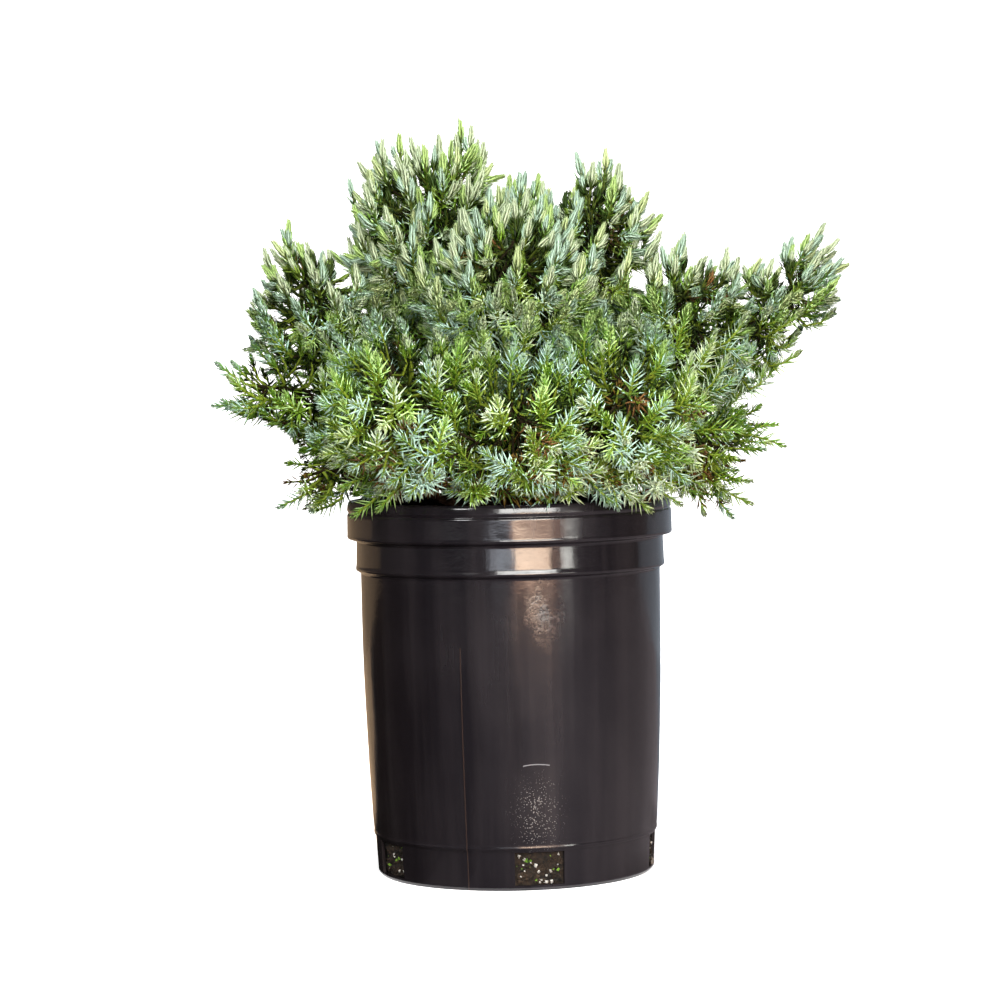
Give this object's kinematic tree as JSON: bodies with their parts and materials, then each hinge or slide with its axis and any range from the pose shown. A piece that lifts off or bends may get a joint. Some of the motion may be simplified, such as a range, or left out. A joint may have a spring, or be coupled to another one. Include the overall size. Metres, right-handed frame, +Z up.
{
  "type": "potted dwarf juniper",
  "caption": "Dwarf blue juniper in a black nursery pot: short trunk, boughs and dense foliage masses over a filled pot with drain holes.",
  "frame": {"origin": "on the ground plane under the middle of the pot", "axes": "+Z up, -Y to the front of the plant as pictured, +X to its right"},
  "size_m": [0.3316, 0.2869, 0.3826],
  "materials": {
    "plastic": "near-black, glossy, lightly scuffed",
    "mix": "dark brown bark and peat with a little white perlite",
    "bark": "matt brown, fibrous",
    "foliage": "blue-green needles, waxy above"
  },
  "bodies": {
    "root": {"pot": "plastic", "potting_mix": "mix", "trunk": "bark", "bough_crest_left": "bark", "bough_crest_right": "bark", "bough_crown_front": "bark", "bough_crown_back": "bark", "bough_shoulder_left": "bark", "bough_shoulder_right": "bark", "bough_arm_right": "bark", "bough_arm_left": "bark", "bough_front_left": "bark", "bough_front_middle": "bark", "bough_front_right": "bark", "bough_skirt_left": "bark", "bough_skirt_right": "bark", "bough_back_left": "bark", "bough_back_right": "bark", "bough_back_middle": "bark", "bough_skirt_back_left": "bark", "bough_skirt_back_right": "bark", "crest_left": "foliage", "crest_right": "foliage", "crown_front": "foliage", "crown_back": "foliage", "shoulder_left": "foliage", "shoulder_right": "foliage", "arm_right": "foliage", "arm_left": "foliage", "front_left": "foliage", "front_middle": "foliage", "front_right": "foliage", "skirt_left": "foliage", "skirt_right": "foliage", "back_left": "foliage", "back_right": "foliage", "back_middle": "foliage", "skirt_back_left": "foliage", "skirt_back_right": "foliage"}
  },
  "joints": []
}
